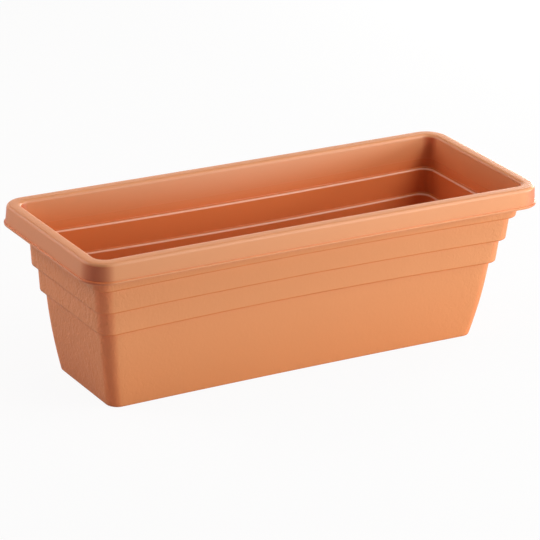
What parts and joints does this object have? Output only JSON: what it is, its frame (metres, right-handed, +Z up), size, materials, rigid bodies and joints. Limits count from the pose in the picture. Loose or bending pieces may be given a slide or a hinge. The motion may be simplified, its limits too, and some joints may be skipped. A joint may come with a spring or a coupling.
{
  "type": "window box planter",
  "caption": "Rectangular window box planter with a rolled rim, stepped bands, tapered body and pull-out plugs in the floor's drain holes.",
  "frame": {"origin": "on the ground under the middle of the trough", "axes": "+Z up, +X along the box, +Y towards the back"},
  "size_m": [0.61, 0.238, 0.2],
  "materials": {
    "trough_plastic": "satin terracotta-coloured plastic, smooth rim and inside, fine grained texture on the outer walls",
    "plug_plastic": "satin terracotta-coloured plastic, smooth"
  },
  "bodies": {
    "trough": {"planter_shell": "trough_plastic"},
    "plug_1": {"drain_plug_1": "plug_plastic"},
    "plug_2": {"drain_plug_2": "plug_plastic"},
    "plug_3": {"drain_plug_3": "plug_plastic"},
    "plug_4": {"drain_plug_4": "plug_plastic"},
    "plug_5": {"drain_plug_5": "plug_plastic"},
    "plug_6": {"drain_plug_6": "plug_plastic"}
  },
  "joints": [
    {"name": "plug_1_pull", "type": "slide", "parent": "trough", "child": "plug_1", "axis": [0, 0, 1], "range_m": [0, 0.21]},
    {"name": "plug_2_pull", "type": "slide", "parent": "trough", "child": "plug_2", "axis": [0, 0, 1], "range_m": [0, 0.21]},
    {"name": "plug_3_pull", "type": "slide", "parent": "trough", "child": "plug_3", "axis": [0, 0, 1], "range_m": [0, 0.21]},
    {"name": "plug_4_pull", "type": "slide", "parent": "trough", "child": "plug_4", "axis": [0, 0, 1], "range_m": [0, 0.21]},
    {"name": "plug_5_pull", "type": "slide", "parent": "trough", "child": "plug_5", "axis": [0, 0, 1], "range_m": [0, 0.21]},
    {"name": "plug_6_pull", "type": "slide", "parent": "trough", "child": "plug_6", "axis": [0, 0, 1], "range_m": [0, 0.21]}
  ]
}
